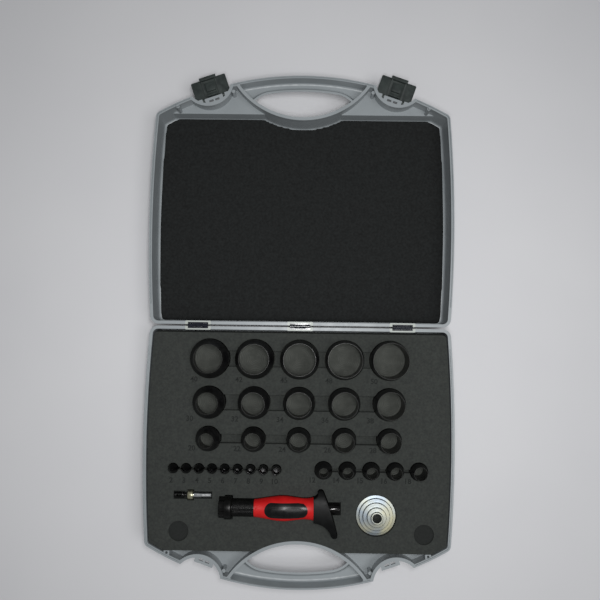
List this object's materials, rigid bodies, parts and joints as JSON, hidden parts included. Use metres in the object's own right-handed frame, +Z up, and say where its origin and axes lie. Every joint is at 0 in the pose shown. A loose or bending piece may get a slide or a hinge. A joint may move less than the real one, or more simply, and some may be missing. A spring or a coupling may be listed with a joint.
{
  "type": "hollow punch kit in a carry case",
  "caption": "Open two-shell carry case with foam that holds ring punches, fine tube punches, a striking hand tool with a red grip, a stepped adaptor and a centring pin.",
  "frame": {"origin": "middle of the base shell's flat underside, on the table", "axes": "+Z up, +Y from the base's handle towards the hinge and the opened lid, +X to the right of someone at the base's handle"},
  "size_m": [0.44, 0.7394, 0.0652],
  "materials": {
    "case_plastic": "injection-moulded polypropylene, silver grey, fine satin texture",
    "base_foam": "closed-cell polyethylene foam, charcoal, cut edges",
    "lid_foam": "soft open-cell foam sheet, black",
    "hinge_plastic": "moulded black hinge leaf, glossy",
    "hinge_pin": "drawn steel hinge pin",
    "latch_plastic": "moulded dark grey latch",
    "punch_steel": "turned steel, blackened and oiled",
    "red_grip": "moulded red rubber grip",
    "black_grip": "moulded black rubber",
    "tool_steel": "turned steel, blackened",
    "zinc_steel": "turned steel, bright zinc plated",
    "bright_steel": "turned and ground steel"
  },
  "bodies": {
    "base": {"base_shell": "case_plastic", "base_foam_bed": "base_foam", "base_foam_large_row": "base_foam", "base_foam_middle_row": "base_foam", "base_foam_small_row": "base_foam", "base_foam_short_row": "base_foam", "base_foam_tool_row": "base_foam", "hinge_base_leaf_left": "hinge_plastic", "hinge_base_leaf_middle": "hinge_plastic", "hinge_base_leaf_right": "hinge_plastic", "hinge_pin_left": "hinge_pin", "hinge_pin_middle": "hinge_pin", "hinge_pin_right": "hinge_pin"},
    "lid": {"lid_shell": "case_plastic", "lid_foam": "lid_foam", "hinge_lid_leaf_left": "hinge_plastic", "hinge_lid_leaf_middle": "hinge_plastic", "hinge_lid_leaf_right": "hinge_plastic"},
    "left_latch": {"latch_left": "latch_plastic"},
    "right_latch": {"latch_right": "latch_plastic"},
    "hand_tool": {"grip": "red_grip", "grip_inlay": "black_grip", "hand_guard": "black_grip", "striking_shank": "tool_steel", "chuck_sleeve": "tool_steel"},
    "nut": {"clamp_nut": "tool_steel"},
    "adaptor": {"stepped_adaptor": "zinc_steel"},
    "centring_pin": {"pin_slotted_end": "tool_steel", "pin_collar": "tool_steel", "pin_shank": "bright_steel"},
    "punch_40_body": {"punch_40": "punch_steel"},
    "punch_42_body": {"punch_42": "punch_steel"},
    "punch_45_body": {"punch_45": "punch_steel"},
    "punch_48_body": {"punch_48": "punch_steel"},
    "punch_50_body": {"punch_50": "punch_steel"},
    "punch_30_body": {"punch_30": "punch_steel"},
    "punch_32_body": {"punch_32": "punch_steel"},
    "punch_34_body": {"punch_34": "punch_steel"},
    "punch_36_body": {"punch_36": "punch_steel"},
    "punch_38_body": {"punch_38": "punch_steel"},
    "punch_20_body": {"punch_20": "punch_steel"},
    "punch_22_body": {"punch_22": "punch_steel"},
    "punch_24_body": {"punch_24": "punch_steel"},
    "punch_26_body": {"punch_26": "punch_steel"},
    "punch_28_body": {"punch_28": "punch_steel"},
    "punch_12_body": {"punch_12": "punch_steel"},
    "punch_14_body": {"punch_14": "punch_steel"},
    "punch_15_body": {"punch_15": "punch_steel"},
    "punch_16_body": {"punch_16": "punch_steel"},
    "punch_18_body": {"punch_18": "punch_steel"},
    "punch_02_body": {"punch_02": "punch_steel"},
    "punch_03_body": {"punch_03": "punch_steel"},
    "punch_04_body": {"punch_04": "punch_steel"},
    "punch_05_body": {"punch_05": "punch_steel"},
    "punch_06_body": {"punch_06": "punch_steel"},
    "punch_07_body": {"punch_07": "punch_steel"},
    "punch_08_body": {"punch_08": "punch_steel"},
    "punch_09_body": {"punch_09": "punch_steel"},
    "punch_10_body": {"punch_10": "punch_steel"}
  },
  "joints": [
    {"name": "lid_hinge", "type": "hinge", "parent": "base", "child": "lid", "pos_m": [0, 0.1595, 0.0461], "axis": [-1, 0, 0], "range_deg": [-180, 0]},
    {"name": "left_latch_hinge", "type": "hinge", "parent": "lid", "child": "left_latch", "pos_m": [-0.13083, 0.4921, 0.0445], "axis": [-0.9445, -0.3285, 0], "range_deg": [-90, 0]},
    {"name": "right_latch_hinge", "type": "hinge", "parent": "lid", "child": "right_latch", "pos_m": [0.13083, 0.4921, 0.0445], "axis": [-0.9445, 0.3285, 0], "range_deg": [-90, 0]},
    {"name": "hand_tool_lift", "type": "slide", "parent": "base", "child": "hand_tool", "axis": [0, 0, 1], "range_m": [0, 0.08]},
    {"name": "nut_turn", "type": "hinge", "parent": "hand_tool", "child": "nut", "pos_m": [-0.1, -0.0955, 0.0462], "axis": [1, 0, 0], "continuous": true},
    {"name": "adaptor_lift", "type": "slide", "parent": "base", "child": "adaptor", "axis": [0, 0, 1], "range_m": [0, 0.08]},
    {"name": "centring_pin_lift", "type": "slide", "parent": "base", "child": "centring_pin", "axis": [0, 0, 1], "range_m": [0, 0.08]},
    {"name": "punch_40_lift", "type": "slide", "parent": "base", "child": "punch_40_body", "axis": [0, 0, 1], "range_m": [0, 0.08]},
    {"name": "punch_42_lift", "type": "slide", "parent": "base", "child": "punch_42_body", "axis": [0, 0, 1], "range_m": [0, 0.08]},
    {"name": "punch_45_lift", "type": "slide", "parent": "base", "child": "punch_45_body", "axis": [0, 0, 1], "range_m": [0, 0.08]},
    {"name": "punch_48_lift", "type": "slide", "parent": "base", "child": "punch_48_body", "axis": [0, 0, 1], "range_m": [0, 0.08]},
    {"name": "punch_50_lift", "type": "slide", "parent": "base", "child": "punch_50_body", "axis": [0, 0, 1], "range_m": [0, 0.08]},
    {"name": "punch_30_lift", "type": "slide", "parent": "base", "child": "punch_30_body", "axis": [0, 0, 1], "range_m": [0, 0.08]},
    {"name": "punch_32_lift", "type": "slide", "parent": "base", "child": "punch_32_body", "axis": [0, 0, 1], "range_m": [0, 0.08]},
    {"name": "punch_34_lift", "type": "slide", "parent": "base", "child": "punch_34_body", "axis": [0, 0, 1], "range_m": [0, 0.08]},
    {"name": "punch_36_lift", "type": "slide", "parent": "base", "child": "punch_36_body", "axis": [0, 0, 1], "range_m": [0, 0.08]},
    {"name": "punch_38_lift", "type": "slide", "parent": "base", "child": "punch_38_body", "axis": [0, 0, 1], "range_m": [0, 0.08]},
    {"name": "punch_20_lift", "type": "slide", "parent": "base", "child": "punch_20_body", "axis": [0, 0, 1], "range_m": [0, 0.08]},
    {"name": "punch_22_lift", "type": "slide", "parent": "base", "child": "punch_22_body", "axis": [0, 0, 1], "range_m": [0, 0.08]},
    {"name": "punch_24_lift", "type": "slide", "parent": "base", "child": "punch_24_body", "axis": [0, 0, 1], "range_m": [0, 0.08]},
    {"name": "punch_26_lift", "type": "slide", "parent": "base", "child": "punch_26_body", "axis": [0, 0, 1], "range_m": [0, 0.08]},
    {"name": "punch_28_lift", "type": "slide", "parent": "base", "child": "punch_28_body", "axis": [0, 0, 1], "range_m": [0, 0.08]},
    {"name": "punch_12_lift", "type": "slide", "parent": "base", "child": "punch_12_body", "axis": [0, 0, 1], "range_m": [0, 0.08]},
    {"name": "punch_14_lift", "type": "slide", "parent": "base", "child": "punch_14_body", "axis": [0, 0, 1], "range_m": [0, 0.08]},
    {"name": "punch_15_lift", "type": "slide", "parent": "base", "child": "punch_15_body", "axis": [0, 0, 1], "range_m": [0, 0.08]},
    {"name": "punch_16_lift", "type": "slide", "parent": "base", "child": "punch_16_body", "axis": [0, 0, 1], "range_m": [0, 0.08]},
    {"name": "punch_18_lift", "type": "slide", "parent": "base", "child": "punch_18_body", "axis": [0, 0, 1], "range_m": [0, 0.08]},
    {"name": "punch_02_lift", "type": "slide", "parent": "base", "child": "punch_02_body", "axis": [0, 0, 1], "range_m": [0, 0.08]},
    {"name": "punch_03_lift", "type": "slide", "parent": "base", "child": "punch_03_body", "axis": [0, 0, 1], "range_m": [0, 0.08]},
    {"name": "punch_04_lift", "type": "slide", "parent": "base", "child": "punch_04_body", "axis": [0, 0, 1], "range_m": [0, 0.08]},
    {"name": "punch_05_lift", "type": "slide", "parent": "base", "child": "punch_05_body", "axis": [0, 0, 1], "range_m": [0, 0.08]},
    {"name": "punch_06_lift", "type": "slide", "parent": "base", "child": "punch_06_body", "axis": [0, 0, 1], "range_m": [0, 0.08]},
    {"name": "punch_07_lift", "type": "slide", "parent": "base", "child": "punch_07_body", "axis": [0, 0, 1], "range_m": [0, 0.08]},
    {"name": "punch_08_lift", "type": "slide", "parent": "base", "child": "punch_08_body", "axis": [0, 0, 1], "range_m": [0, 0.08]},
    {"name": "punch_09_lift", "type": "slide", "parent": "base", "child": "punch_09_body", "axis": [0, 0, 1], "range_m": [0, 0.08]},
    {"name": "punch_10_lift", "type": "slide", "parent": "base", "child": "punch_10_body", "axis": [0, 0, 1], "range_m": [0, 0.08]}
  ]
}
